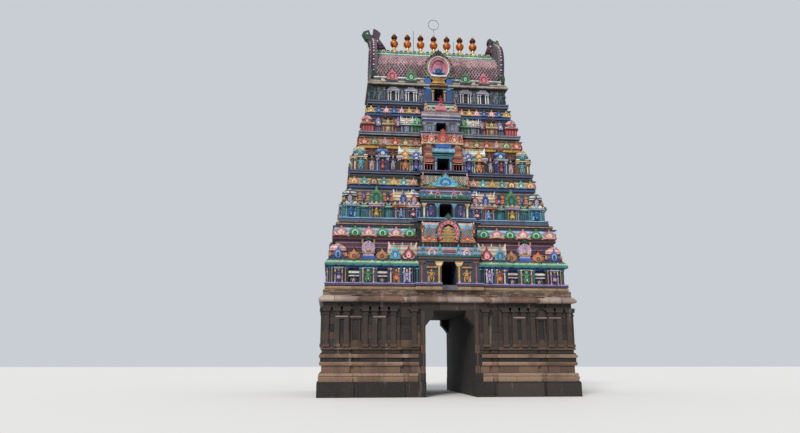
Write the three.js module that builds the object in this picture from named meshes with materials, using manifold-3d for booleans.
// A gateway tower of a temple: a granite gateway carries five shrinking storeys of painted stucco over
// brick, a barrel roof with horned gables, and seven gilded finials.
// Millimetres, X along the front, Y into the gateway, Z up, the origin in the middle of the footprint on
// the ground. Widths and depths are measured from the middle, so they are half sizes.
import * as THREE from 'three';
import { mergeVertices } from 'three/addons/utils/BufferGeometryUtils.js';
import Module from 'manifold-3d';

const wasm = await Module();
wasm.setup();

// Driving dimensions of the granite base.
const base = { width: 6100, depth: 3870, top: 4440 };
// The profile of its foot, from the ground up: outward step and height.
const baseFoot = [
  [230, 0], [230, 710], [130, 710], [130, 1100], [20, 1100], [20, 1450], [100, 1450], [100, 2040], [0, 2040],
];
const gate = { width: 1200, lintel: 4070, seat: 350, jamb: 220, jambOut: 60 };
const corbel = { depth: 600, reach: 400, bottom: 3290 };
// The cornice's profile, set out from the base: outward step and height.
const cornice = { top: 4760, profile: [[60, 4440], [250, 4500], [250, 4560], [130, 4700], [30, 4760]] };
const courseOut = 60;
const courseTop = 5040;
const baseMarks = { front: [[4850, 90], [4250, 0], [2450, 90], [1850, 0]], side: [[2700, 90], [1300, 0]] };

// Driving dimensions of the storeys. Each has its wall plane, its room, and the heights of its floor, eave,
// shelf of small shrines, domes and set-back wall. sideMarks place the bays of its short faces: the distance
// from the middle, and 1 where the wall steps back from there inwards. The band below a floor has a number of
// gablets on half a front and on half a side.
const ledgeOut = 210;
const bandOut = 170;
const slab = 300;
// How far a band steps in behind its face: between its gablets, on the shelf above them and under the ledge.
const bandSteps = { ground: 80, shelf: 175, throat: 310, gablet: 200, gap: 50 };
// A gablet of a band, as shares of its bay's width and of the band's height.
const gabletOutline = [[0.3, 0.15], [0.4, 0.5], [0, 0.89], [-0.4, 0.5], [-0.3, 0.15]];
const tiers = [
  {
    width: 5880, depth: 3640, room: [4500, 2150], setback: 300, overhang: 220, inset: 150,
    ledge: 5230, floor: 5400, eave: 6130, shelf: 6570, dome: 7420, top: 7720,
    porch: { width: 1500, out: 300, door: 375, lintel: 6450, eave: 6690, kapota: 7170, roof: 7460, ridge: 8500,
      sala: 1200, nasi: 660, nasiTop: 8650 },
    sideMarks: [[2700, 1], [2200, 0], [1300, 1], [820, 0]],
  },
  {
    width: 5260, depth: 2970, room: [4150, 1800], setback: 380, overhang: 180, inset: 140,
    ledge: 8600, floor: 8800, eave: 9340, shelf: 9570, dome: 10390, top: 10600,
    band: { width: 5740, depth: 3480, roll: 8260, neck: 8480, gablets: [6, 5] },
    porch: { width: 1290, out: 300, door: 330, lintel: 9530, eave: 9760, kapota: 10240, roof: 10440, ridge: 11160,
      sala: 1150, nasi: 460, nasiTop: 11300 },
    sideMarks: [[2130, 1], [1730, 0], [990, 1], [610, 0]],
  },
  {
    width: 4740, depth: 2420, room: [3880, 1500], setback: 360, overhang: 160, inset: 130,
    ledge: 11280, floor: 11470, eave: 12110, shelf: 12330, dome: 12850, top: 12960,
    band: { width: 5030, depth: 2720, roll: 11050, neck: 11210, gablets: [7, 5] },
    porch: { width: 1070, out: 300, door: 320, lintel: 12150, eave: 12440, kapota: 12740, roof: 12930, ridge: 13630,
      sala: 1040, nasi: 400, nasiTop: 13740 },
    sideMarks: [[1700, 1], [1160, 0]],
  },
  {
    width: 4270, depth: 1920, room: [3560, 1190], setback: 310, overhang: 130, inset: 120,
    ledge: 13600, floor: 13810, eave: 14200, shelf: 14320, dome: 14840, top: 15000,
    band: { width: 4530, depth: 2180, roll: 13430, neck: 13530, gablets: [6, 4] },
    porch: { width: 1000, out: 280, door: 270, lintel: 14340, eave: 14560, kapota: 14960, roof: 15060, ridge: 15580,
      sala: 620, nasi: 400, nasiTop: 15640 },
    sideMarks: [[1340, 1], [900, 0]],
  },
];
const sill = 5280;

// Steps of a porch from its face: eave and gable forwards, neck and barrel backwards.
const porchSteps = { eave: 120, gable: 20, neck: 100, barrel: 60 };
const crown = {
  width: 3800, depth: 1410, room: [3350, 960], inset: 100,
  ledge: 15600, floor: 15840, eave: 16700, lip: 16840, shelf: 17060, plinth: 17300, overhang: 220,
  band: { width: 4090, depth: 1710, roll: 15410, neck: 15510, gablets: [7, 4] },
  porch: { width: 700, out: 140, door: 250, lintel: 16580 },
  sideMarks: [[1020, 1], [640, 0]],
};

// Shares of a storey's half-width where its front bays begin: corner, recess, small bay, recess, long bay.
const bayShares = { corner: 0.84, small: 0.75, smallEnd: 0.6, long: 0.515 };

// Driving dimensions of the roof.
const vault = { length: 3480, spring: 1400, belly: 1470, crown: 19150, crownWidth: 260, shell: 200 };
// The lattice of ribs on the barrel roof: cells along it, rows up each side, and how far a rib stands out and
// a hollow goes in. It stays plain this far beside the round gablets.
const lattice = { cells: 41, rows: 16, rib: 20, hollow: 12, plain: 50 };
const gable = { width: 380, half: 1600, top: 20390, crest: 250 };
const ridge = { length: 3400, half: 240, top: 19500 };
const nasi = { half: 800, face: 1760, top: 18760, tip: 19020 };
// The crests on the gables, as outward distances from the gable's inner face, and heights.
const crests = {
  left: [
    [20, 19700], [360, 19700], [440, 19900], [490, 20130], [610, 20170], [820, 20540], [720, 20730], [410, 20860],
    [320, 20560], [230, 20520], [140, 20950], [-100, 20840], [-290, 20660], [-180, 20430], [-230, 20200],
    [-400, 19950], [-630, 19640], [-200, 19600],
  ],
  right: [
    [20, 19700], [360, 19700], [440, 19900], [530, 20200], [490, 20480], [370, 20660], [280, 20480], [200, 20520],
    [110, 20560], [-60, 20680], [-190, 20600], [-230, 20430], [-130, 20400], [-190, 20200], [-330, 19850],
    [-360, 19640], [-100, 19600],
  ],
};
// The finials: a flared foot, a round pot, a smaller pot and a bud, as radii and heights.
const finial = { count: 7, spacing: 790, height: 1400 };
const finialProfile = [
  [0, 0], [200, 0], [190, 90], [80, 320], [190, 460], [240, 580], [230, 680], [90, 780], [90, 840], [180, 920],
  [185, 1000], [70, 1150], [60, 1220], [18, 1380], [18, 1400], [0, 1400],
];
const hoop = { radius: 320, wire: 16, sides: 5, centre: 21450 };
const rods = [{ x: -1220, top: 20980 }, { x: 1200, top: 20400 }];
const rodRadius = 16;

const far = 20000;
const seam = 0.3;
const shrineBack = 12;

const paints = {
  granite: new THREE.MeshStandardMaterial({ color: 0x7d6a5c, roughness: 0.9, metalness: 0 }),
  brick: new THREE.MeshStandardMaterial({ color: 0x8a7565, roughness: 0.95, metalness: 0 }),
  violet: new THREE.MeshStandardMaterial({ color: 0x5e5a9c, roughness: 0.75, metalness: 0 }),
  teal: new THREE.MeshStandardMaterial({ color: 0x4f9a97, roughness: 0.75, metalness: 0 }),
  orange: new THREE.MeshStandardMaterial({ color: 0xc06a3a, roughness: 0.75, metalness: 0 }),
  cream: new THREE.MeshStandardMaterial({ color: 0xd9c9a4, roughness: 0.75, metalness: 0 }),
  pink: new THREE.MeshStandardMaterial({ color: 0xc87f92, roughness: 0.75, metalness: 0 }),
  green: new THREE.MeshStandardMaterial({ color: 0x5c8f5c, roughness: 0.75, metalness: 0 }),
  gold: new THREE.MeshStandardMaterial({ color: 0xb87a3a, roughness: 0.35, metalness: 0.9 }),
  steel: new THREE.MeshStandardMaterial({ color: 0x8d9196, roughness: 0.5, metalness: 0.8 }),
};

// Solids from closed geometries, and back to named meshes.
function solid(geometry) {
  const bare = new THREE.BufferGeometry();
  bare.setAttribute('position', geometry.getAttribute('position'));
  bare.setIndex(geometry.getIndex());
  const merged = mergeVertices(bare, 0.01);
  const vertProperties = new Float32Array(merged.getAttribute('position').array);
  const triVerts = new Uint32Array(merged.getIndex().array);
  return new wasm.Manifold(new wasm.Mesh({ numProp: 3, vertProperties, triVerts }));
}

function join(solids) {
  return solids.reduce((whole, piece) => whole.add(piece));
}

function cut(whole, ...tools) {
  return tools.reduce((rest, tool) => rest.subtract(tool), whole);
}

const tower = new THREE.Group();
tower.name = 'gopuram';

function place(name, whole, material) {
  const { vertProperties, triVerts } = whole.getMesh();
  const geometry = new THREE.BufferGeometry();
  geometry.setAttribute('position', new THREE.BufferAttribute(new Float32Array(vertProperties), 3));
  geometry.setIndex(new THREE.BufferAttribute(new Uint32Array(triVerts), 1));
  geometry.computeVertexNormals();
  const mesh = new THREE.Mesh(geometry, material);
  mesh.name = name;
  tower.add(mesh);
}

// A quarter turn about Z, repeated.
function turn(x, y, quarter) {
  return [[x, y], [-y, x], [-x, -y], [y, -x]][quarter];
}

// One face of a plan, from its left corner to its right one. Each mark is a distance from the middle and
// the inset that holds from there towards the middle.
function faceLine(half, marks) {
  const left = [[-half, 0]];
  let inset = 0;
  for (const [along, next] of marks) {
    left.push([-along, inset], [-along, next]);
    inset = next;
  }
  const right = left.slice().reverse().map(([along, into]) => [-along, into]);
  return left.concat(right);
}

// A closed plan with four faces, anticlockwise from its front left corner.
function plan(width, depth, frontMarks = [], sideMarks = []) {
  const points = [];
  for (let quarter = 0; quarter < 4; quarter += 1) {
    const front = quarter % 2 === 0;
    const line = faceLine(front ? width : depth, front ? frontMarks : sideMarks);
    line.pop();
    const away = front ? depth : width;
    for (const [along, into] of line) {
      points.push(turn(along, into - away, quarter));
    }
  }
  return points;
}

// Moves each edge of a plan outwards by one distance, with mitred corners.
function grow(points, out) {
  const count = points.length;
  return points.map(([x, y], index) => {
    const [px, py] = points[(index + count - 1) % count];
    const [nx, ny] = points[(index + 1) % count];
    const before = [Math.sign(y - py), Math.sign(px - x)];
    const after = [Math.sign(ny - y), Math.sign(x - nx)];
    return [x + out * (before[0] + after[0]), y + out * (before[1] + after[1])];
  });
}

// The triangles that close a flat outline, where its first point has this number.
function lid(outline, first) {
  const contour = outline.map(([across, up]) => new THREE.Vector2(across, up));
  return THREE.ShapeUtils.triangulateShape(contour, []).flat().map((point) => first + point);
}

function meshed(points, index) {
  const geometry = new THREE.BufferGeometry();
  geometry.setAttribute('position', new THREE.Float32BufferAttribute(points, 3));
  geometry.setIndex(index);
  return solid(geometry);
}

// A moulding: the plan carried up a profile of outward steps and heights.
function loft(points, profile) {
  const rings = profile.map(([out, z]) => grow(points, out).map(([x, y]) => [x, y, z]));
  const count = points.length;
  const index = [];
  for (let ring = 0; ring + 1 < rings.length; ring += 1) {
    for (let side = 0; side < count; side += 1) {
      const a = ring * count + side;
      const b = ring * count + ((side + 1) % count);
      index.push(a, b, b + count, a, b + count, a + count);
    }
  }
  const last = rings.length - 1;
  index.push(...lid(rings[0].map(([x, y]) => [x, y]), 0).reverse());
  index.push(...lid(rings[last].map(([x, y]) => [x, y]), last * count));
  return meshed(rings.flat(2), index);
}

function block([x0, x1], [y0, y1], [z0, z1]) {
  const geometry = new THREE.BoxGeometry(x1 - x0, y1 - y0, z1 - z0);
  geometry.translate((x0 + x1) / 2, (y0 + y1) / 2, (z0 + z1) / 2);
  return solid(geometry);
}

function both(half) {
  return [-half, half];
}

// An outline drawn as seen from the front, carried from y0 to y1, then turned to another face.
function prism(points, [y0, y1], quarter = 0) {
  const shape = new THREE.Shape(points.map(([x, z]) => new THREE.Vector2(x, z)));
  const geometry = new THREE.ExtrudeGeometry(shape, { depth: y1 - y0, bevelEnabled: false });
  geometry.rotateX(Math.PI / 2);
  geometry.translate(0, y1, 0);
  geometry.rotateZ((quarter * Math.PI) / 2);
  return solid(geometry);
}

// A horseshoe outline: narrow foot, widest below the middle, pointed top.
function horseshoe(middle, half, bottom, top) {
  const tall = top - bottom;
  const right = [[0.8, 0], [1, 0.38], [0.72, 0.76], [0, 1]];
  const left = [[-0.72, 0.76], [-1, 0.38], [-0.8, 0]];
  return right.concat(left).map(([across, up]) => [middle + across * half, bottom + up * tall]);
}

// A barrel outline: straight foot and a round back.
function barrel(middle, half, bottom, top) {
  const tall = top - bottom;
  const right = [[1, 0], [1, 0.45], [0.75, 0.8], [0, 1]];
  const left = [[-0.75, 0.8], [-1, 0.45], [-1, 0]];
  return right.concat(left).map(([across, up]) => [middle + across * half, bottom + up * tall]);
}

// Marks of a storey's front.
function frontMarks(tier) {
  const half = tier.width;
  return [
    [bayShares.corner * half, tier.inset], [bayShares.small * half, 0],
    [bayShares.smallEnd * half, tier.inset], [bayShares.long * half, 0],
  ];
}

function sideMarks(tier) {
  return tier.sideMarks.map(([along, inward]) => [along, inward * tier.inset]);
}

function halves(name, whole, material) {
  place(`${name}_left`, cut(whole, block([0, far], both(far), both(far * 2))), material);
  place(`${name}_right`, cut(whole, block([-far, 0], both(far), both(far * 2))), material);
}

// The granite gateway: two piers with a moulded foot, jamb strips and stepped corbels, and the beam over
// the passage.
function graniteBase() {
  const profile = baseFoot.concat([[0, base.top]]);
  const body = loft(plan(base.width, base.depth, baseMarks.front, baseMarks.side), profile);
  const front = base.depth + gate.jambOut;
  const jambs = [];
  for (const side of [-1, 1]) {
    const edges = [side * gate.width, side * (gate.width + gate.jamb)].sort((a, b) => a - b);
    jambs.push(block(edges, both(front), [0, gate.lintel]));
  }
  const passage = block(both(gate.width), both(far), [-1, gate.lintel]);
  const ceiling = block(both(gate.width + gate.seat), both(far), [gate.lintel, base.top + 1]);
  const piers = cut(join([body, ...jambs]), passage, ceiling);
  const corbels = [];
  for (const side of [-1, 1]) {
    const wall = side * gate.width;
    const lip = side * (gate.width - corbel.reach);
    const step = side * (gate.width - corbel.reach * 0.6);
    const rise = gate.lintel - corbel.bottom;
    const line = [
      [wall, corbel.bottom], [step, corbel.bottom + rise * 0.4], [lip, corbel.bottom + rise * 0.6],
      [lip, gate.lintel], [wall + side * 10, gate.lintel], [wall + side * 10, corbel.bottom],
    ];
    const drawn = side > 0 ? line.reverse() : line;
    corbels.push(prism(drawn, [-front, -front + corbel.depth]));
    corbels.push(prism(drawn, [front - corbel.depth, front]));
  }
  halves('base_pier', join([piers, ...corbels]), paints.granite);
  const beam = block(both(gate.width + gate.seat), both(base.depth), [gate.lintel, base.top]);
  place('gate_ceiling', beam, paints.granite);
}

function graniteCornice() {
  const points = plan(base.width, base.depth, baseMarks.front, baseMarks.side);
  place('stone_cornice', loft(points, cornice.profile), paints.granite);
  const course = [[courseOut, cornice.top], [courseOut, courseTop]];
  place('brick_course', loft(plan(base.width, base.depth), course), paints.brick);
}

// The floor of a storey: a moulded band of gablets with its slab and its ledge, hollow over the room below.
function ledge(tier, out) {
  const points = plan(tier.width, tier.depth, [[tier.porch.width, -tier.porch.out]]);
  const high = tier.floor;
  return loft(points, [[out, tier.ledge], [out, high - 50], [out - 50, high]]);
}

// The first floor is notched down to the doorsills on the front and the back.
function firstFloor(tier) {
  const points = plan(tier.width, tier.depth, [[tier.porch.width, -tier.porch.out]]);
  const band = loft(points, [[bandOut, courseTop], [bandOut, tier.ledge]]);
  const notches = [[-far, -tier.room[1]], [tier.room[1], far]].map((range) => (
    block(both(tier.porch.door), range, [sill, far])
  ));
  place('tier1_floor', cut(join([band, ledge(tier, ledgeOut)]), ...notches), paints.violet);
}

function bandGablets(tier, below) {
  const { width, depth, roll, gablets } = tier.band;
  const tall = roll - below.top;
  const solids = [];
  for (let quarter = 0; quarter < 4; quarter += 1) {
    const front = quarter % 2 === 0;
    const [half, away] = front ? [width, depth] : [depth, width];
    const count = gablets[quarter % 2];
    const start = front ? below.porch.width + bandSteps.gap : 0;
    const pitch = (half - bandSteps.ground - start) / count;
    for (let number = 0; number < count; number += 1) {
      const middle = start + (number + 0.5) * pitch;
      for (const side of [-1, 1]) {
        const spot = side * middle;
        const line = gabletOutline.map(([across, up]) => [spot + across * pitch, below.top + up * tall]);
        solids.push(prism(line, [-away, -away + bandSteps.gablet], quarter));
      }
    }
  }
  return solids;
}

function floor(name, tier, below) {
  const { width, depth, roll, neck } = tier.band;
  const porchInset = depth - (below.depth - below.setback);
  const notch = [below.porch.width + 20, porchInset];
  const points = plan(width, depth, [notch]);
  const up = (share) => below.top + (roll - below.top) * share;
  const { ground, shelf, throat } = bandSteps;
  const band = loft(points, [
    [-50, below.top], [-ground, up(0.13)], [-ground, up(0.9)], [0, up(0.96)], [0, roll],
    [-shelf, roll], [-shelf, neck], [-throat, neck], [-throat, tier.ledge + 60],
  ]);
  const whole = join([band, ...bandGablets(tier, below), ledge(tier, ledgeOut)]);
  const [roomWidth, roomDepth] = below.room;
  const hollow = block(both(roomWidth), both(roomDepth), [below.top - 1, tier.floor - slab]);
  place(name, cut(whole, hollow), paints.violet);
}

// The walls of a storey: two halves with projecting bays, which leave the porches their width.
function walls(name, tier, material) {
  const points = plan(tier.width, tier.depth, frontMarks(tier), sideMarks(tier));
  const ring = loft(points, [[0, tier.floor], [0, tier.eave]]);
  const [roomWidth, roomDepth] = tier.room;
  const room = block(both(roomWidth), both(roomDepth), both(far * 2));
  const porches = block(both(tier.porch.width), both(far), both(far * 2));
  halves(name, cut(ring, room, porches), material);
}

// A corner shrine: a square body under a ribbed dome.
function kuta(tier, sideX, sideY) {
  const size = tier.width * (1 - bayShares.corner);
  const half = size / 2;
  const deep = half * 0.94;
  const x = sideX * (tier.width - half);
  const y = sideY * (tier.depth - deep - shrineBack);
  const tall = tier.dome - tier.shelf;
  const square = [[x - half, y - deep], [x + half, y - deep], [x + half, y + deep], [x - half, y + deep]];
  const steps = [[-60, 0], [20, 0.36], [-0.04 * size, 0.66], [-0.18 * size, 0.86]];
  const tip = [-0.36 * size, 1];
  return loft(square, steps.concat([tip]).map(([out, up]) => [out, tier.shelf + up * tall]));
}

// Small shrines along one face: horseshoe gables on the small bays and in the recesses, and a barrel on
// the long bay.
function faceShrines(tier, quarter) {
  const front = quarter % 2 === 0;
  const away = front ? tier.depth : tier.width;
  const tall = tier.dome - tier.shelf;
  const behind = -(away - tier.setback - 60);
  const pieces = [];
  const upright = (middle, half, height, inset) => {
    const outline = horseshoe(middle, half, tier.shelf, tier.shelf + tall * height);
    pieces.push(prism(outline, [-(away - inset), behind], quarter));
  };
  const barrelAlong = (middle, half) => {
    const thick = tier.setback / 2 + 60;
    const outline = barrel(-(away - thick), thick, tier.shelf, tier.dome);
    const along = [-(middle + half), -(middle - half)];
    pieces.push(prism(outline, along, (quarter + 1) % 4));
  };
  const half = tier.width;
  const edges = front
    ? [bayShares.corner * half, bayShares.small * half, bayShares.smallEnd * half, bayShares.long * half]
    : tier.sideMarks.map(([along]) => along);
  for (const side of [-1, 1]) {
    upright((side * (edges[0] + edges[1])) / 2, (edges[0] - edges[1]) * 0.36, 0.7, tier.inset);
    if (edges.length > 2) {
      upright((side * (edges[1] + edges[2])) / 2, (edges[1] - edges[2]) * 0.47, 1, 20);
      upright((side * (edges[2] + edges[3])) / 2, (edges[2] - edges[3]) * 0.36, 0.7, tier.inset);
    }
    if (front) {
      const inner = tier.porch.width + 180;
      barrelAlong((side * (edges[3] + inner)) / 2, (edges[3] - inner) / 2);
    }
  }
  if (!front) {
    barrelAlong(0, edges[edges.length - 1] - 40);
  }
  return pieces;
}

// The row of shrines: the curved eave they stand on and the set-back wall behind them, in one ring.
function shrineRow(name, tier, material) {
  const points = plan(tier.width, tier.depth, frontMarks(tier), sideMarks(tier));
  const out = tier.overhang;
  const drop = tier.shelf - tier.eave;
  const eave = loft(points, [
    [40, tier.eave], [out, tier.eave + drop * 0.4], [out * 0.65, tier.eave + drop * 0.8], [20, tier.shelf],
  ]);
  const backWidth = tier.width - tier.setback;
  const backDepth = tier.depth - tier.setback;
  const back = block(both(backWidth), both(backDepth), [tier.shelf - 1, tier.top]);
  const domes = [[-1, -1], [1, -1], [1, 1], [-1, 1]].map(([x, y]) => kuta(tier, x, y));
  const faces = [0, 1, 2, 3].flatMap((quarter) => faceShrines(tier, quarter));
  const [roomWidth, roomDepth] = tier.room;
  const { width, door, lintel } = tier.porch;
  const tools = [block(both(roomWidth), both(roomDepth), both(far * 2))];
  for (const range of [[-far, -backDepth], [backDepth, far]]) {
    tools.push(block(both(width), range, both(far * 2)));
    tools.push(block(both(width + 150), range, [tier.porch.eave - 20, far * 2]));
  }
  if (lintel > tier.eave) {
    tools.push(block(both(door), both(far), [tier.eave - 1, lintel]));
  }
  place(name, cut(join([eave, back, ...domes, ...faces]), ...tools), material);
}

// A porch on the front, or on the back: jambs and a head round the doorway, a curved eave, and above it a
// barrel with a horseshoe gable.
function porch(name, tier, above, side, material) {
  const bay = tier.porch;
  const steps = porchSteps;
  const face = tier.depth + bay.out;
  const plane = tier.depth - tier.setback;
  const upright = (half, from, to, z) => block(both(half), [-from, -to], z);
  const pieces = [
    upright(bay.width, face, tier.room[1], [tier.floor, tier.eave]),
    upright(bay.width, face, plane, [tier.eave - 1, bay.eave]),
  ];
  const inner = plane - tier.setback;
  const rect = plan(bay.width, (face - inner) / 2).map(([x, y]) => [x, y - (face + inner) / 2]);
  const drop = bay.kapota - bay.eave;
  pieces.push(loft(rect, [
    [0, bay.eave], [steps.eave, bay.eave + drop * 0.3], [steps.eave, bay.eave + drop * 0.45],
    [-steps.gable, bay.kapota],
  ]));
  pieces.push(upright(bay.width - steps.neck, face - steps.barrel, plane, [bay.kapota - 1, bay.roof]));
  const thick = (face - steps.barrel - plane) / 2;
  const back = barrel(-(plane + thick), thick, bay.roof - 1, bay.ridge);
  pieces.push(prism(back, both(bay.sala), 1));
  pieces.push(prism(horseshoe(0, bay.nasi, bay.roof - 1, bay.nasiTop), [-face - steps.gable, -plane]));
  const doorway = block(both(bay.door), both(far), [tier.floor - 1, bay.lintel]);
  const behind = block(both(far), [-plane, far], [tier.eave, far * 2]);
  const ledgeFace = above.depth + above.porch.out + ledgeOut;
  const under = block(both(far), [-ledgeFace, far], [above.ledge, far * 2]);
  const whole = cut(join(pieces), doorway, behind, under);
  place(name, side < 0 ? whole : whole.rotate([0, 0, 180]), material);
}

// The top storey's porch: jambs and a head only, under the eave.
function crownPorch(name, side) {
  const bay = crown.porch;
  const face = crown.depth + bay.out;
  const body = block(both(bay.width), [-face, -crown.room[1]], [crown.floor, crown.eave]);
  const whole = cut(body, block(both(bay.door), both(far), [crown.floor - 1, bay.lintel]));
  place(name, side < 0 ? whole : whole.rotate([0, 0, 180]), paints.teal);
}

function crownEave() {
  const points = plan(crown.width, crown.depth);
  const out = crown.overhang;
  const lip = loft(points, [[30, crown.eave], [out, crown.lip - 60], [out, crown.lip], [90, crown.shelf]]);
  const plinth = [[60, crown.shelf - 1], [60, crown.plinth]];
  const foot = loft(plan(crown.width, crown.depth), plinth);
  const [roomWidth, roomDepth] = crown.room;
  const hollow = block(both(roomWidth), both(roomDepth), both(far * 2));
  place('tier5_eave', cut(join([lip, foot]), hollow), paints.cream);
}

// Half of the barrel roof's section, from its foot to its flat crown.
function vaultSide() {
  const { spring, belly, crownWidth } = vault;
  const rise = vault.crown - crown.plinth;
  const side = [[spring, 0], [belly, 0.2], [belly * 0.98, 0.42], [belly * 0.86, 0.64], [belly * 0.62, 0.84]];
  return side.concat([[crownWidth, 1]]).map(([y, up]) => [y, crown.plinth + up * rise]);
}

function roundedSide() {
  const corners = vaultSide().map(([y, z]) => new THREE.Vector2(y, z));
  return new THREE.SplineCurve(corners).getPoints(lattice.rows).map(({ x, y }) => [x, y]);
}

function mirrored(right) {
  return right.concat(right.slice().reverse().map(([y, z]) => [-y, z]));
}

// How far one unit outwards from the section moves a point across and up: none at the foot and the crown.
function outwards(line, row) {
  if (row === 0 || row === lattice.rows) {
    return [0, 0];
  }
  const [across, up] = [0, 1].map((axis) => line[row + 1][axis] - line[row - 1][axis]);
  const size = Math.hypot(across, up);
  return [up / size, -across / size];
}

// The barrel roof's outside: ribs that cross in a lattice round hollows, and plain faces behind the gablets.
function latticeRoof() {
  const line = roundedSide();
  const section = mirrored(line);
  const normals = mirrored(line.map((_, row) => outwards(line, row)));
  const columns = lattice.cells * 2;
  const count = section.length;
  const rings = [];
  for (let column = 0; column <= columns; column += 1) {
    const x = vault.length * (2 * (column / columns) - 1);
    const plain = Math.abs(x) < nasi.half + lattice.plain;
    rings.push(section.map(([y, z], row) => {
      const lift = (column + row) % 2 === 0 ? lattice.rib : -lattice.hollow;
      const out = plain ? 0 : lift;
      return [x, y + out * normals[row][0], z + out * normals[row][1]];
    }));
  }
  const index = [];
  for (let column = 0; column < columns; column += 1) {
    const here = column * count;
    const next = here + count;
    for (let row = 0; row + 1 < count; row += 1) {
      const [a, b, c, d] = [here + row, next + row, next + row + 1, here + row + 1];
      index.push(...((column + row) % 2 === 0 ? [a, d, c, a, c, b] : [a, d, b, b, d, c]));
    }
    index.push(here, next, next + count - 1, here, next + count - 1, here + count - 1);
  }
  index.push(...lid(rings[0].map(([, y, z]) => [y, z]), 0).reverse());
  index.push(...lid(rings[columns].map(([, y, z]) => [y, z]), columns * count));
  return meshed(rings.flat(2), index);
}

function roof() {
  const { spring, shell } = vault;
  const corners = vaultSide();
  const [top, topHeight] = corners.pop();
  const inside = corners.map(([y, z]) => [y - shell, z]).concat([[top, topHeight - shell]]);
  const inner = prism(mirrored(inside), both(far), 1).translate([0, 0, -0.01]);
  const opened = block(both(far), both(spring - shell), [0, crown.plinth + 1]);
  place('vault', cut(latticeRoof(), inner, opened), paints.pink);

  const outline = roundedSide().map(([y, z]) => [y + seam, z]);
  outline[lattice.rows][1] += seam;
  const grown = prism(mirrored(outline), both(vault.length), 1);
  const face = horseshoe(0, nasi.half, crown.plinth, nasi.top);
  const point = horseshoe(0, nasi.half * 0.3, nasi.top - 160, nasi.tip);
  const gablet = join([face, point].map((line) => prism(line, [-nasi.face, -vault.crownWidth])));
  const front = cut(gablet, grown);
  place('nasi_front', front, paints.pink);
  place('nasi_back', front.rotate([0, 0, 180]), paints.pink);

  const half = ridge.half;
  const beam = loft(plan(ridge.length, half), [
    [0, vault.crown], [50, vault.crown + 90], [50, vault.crown + 190], [-20, ridge.top - 70], [-20, ridge.top],
  ]);
  place('ridge', beam, paints.teal);
}

// An end gable: a thick horseshoe under a crest with a horn and a lion's head.
function endGable(name, side) {
  const outline = horseshoe(0, gable.half, crown.plinth, gable.top);
  const plate = prism(outline, [vault.length, vault.length + gable.width], 3);
  const line = (side > 0 ? crests.right : crests.left).map(([out, z]) => [vault.length + out, z]);
  const crest = prism(line, both(gable.crest));
  const whole = join([plate, crest]);
  place(name, side > 0 ? whole : whole.rotate([0, 0, 180]), paints.violet);
}

// A round solid about Z from a profile of radii and heights.
function turned(profile, segments) {
  const geometry = new THREE.LatheGeometry(profile.map(([r, z]) => new THREE.Vector2(r, z)), segments);
  geometry.rotateX(Math.PI / 2);
  return geometry;
}

function finials() {
  for (let number = 0; number < finial.count; number += 1) {
    const x = (number - (finial.count - 1) / 2) * finial.spacing;
    const geometry = turned(finialProfile, 8);
    geometry.translate(x, 0, ridge.top);
    place(`finial_${number + 1}`, solid(geometry), paints.gold);
  }
}

function hoopAndRods() {
  const foot = ridge.top + finial.height;
  const wire = [];
  for (let step = 0; step < hoop.sides; step += 1) {
    const angle = (step / hoop.sides) * Math.PI * 2;
    wire.push(new THREE.Vector2(hoop.radius + hoop.wire * Math.cos(angle), hoop.wire * Math.sin(angle)));
  }
  wire.push(wire[0].clone());
  const ring = new THREE.LatheGeometry(wire, 20);
  ring.translate(0, 0, hoop.centre);
  const stemTop = hoop.centre - hoop.radius;
  const stem = new THREE.CylinderGeometry(rodRadius, rodRadius, stemTop - foot, 8);
  stem.rotateX(Math.PI / 2);
  stem.translate(0, 0, (foot + stemTop) / 2);
  place('lightning_ring', join([solid(ring), solid(stem)]), paints.steel);
  rods.forEach(({ x, top }, index) => {
    const rod = new THREE.CylinderGeometry(rodRadius, rodRadius, top - ridge.top, 8);
    rod.rotateX(Math.PI / 2);
    rod.translate(x, 0, (ridge.top + top) / 2);
    place(`rod_${index + 1}`, solid(rod), paints.steel);
  });
}

graniteBase();
graniteCornice();
firstFloor(tiers[0]);
const wallPaints = [paints.teal, paints.orange, paints.cream, paints.pink];
const rowPaints = [paints.green, paints.cream, paints.orange, paints.green];
tiers.forEach((tier, index) => {
  const name = `tier${index + 1}`;
  if (index > 0) {
    floor(`${name}_floor`, tier, tiers[index - 1]);
  }
  walls(`${name}_wall`, tier, wallPaints[index]);
  shrineRow(`${name}_shrine_row`, tier, rowPaints[index]);
  const above = tiers[index + 1] ?? crown;
  porch(`${name}_front_bay`, tier, above, -1, paints.pink);
  porch(`${name}_back_bay`, tier, above, 1, paints.pink);
});
floor('tier5_floor', crown, tiers[tiers.length - 1]);
walls('tier5_wall', crown, paints.cream);
crownPorch('tier5_front_bay', -1);
crownPorch('tier5_back_bay', 1);
crownEave();
roof();
endGable('gable_left', -1);
endGable('gable_right', 1);
finials();
hoopAndRods();

export default tower;
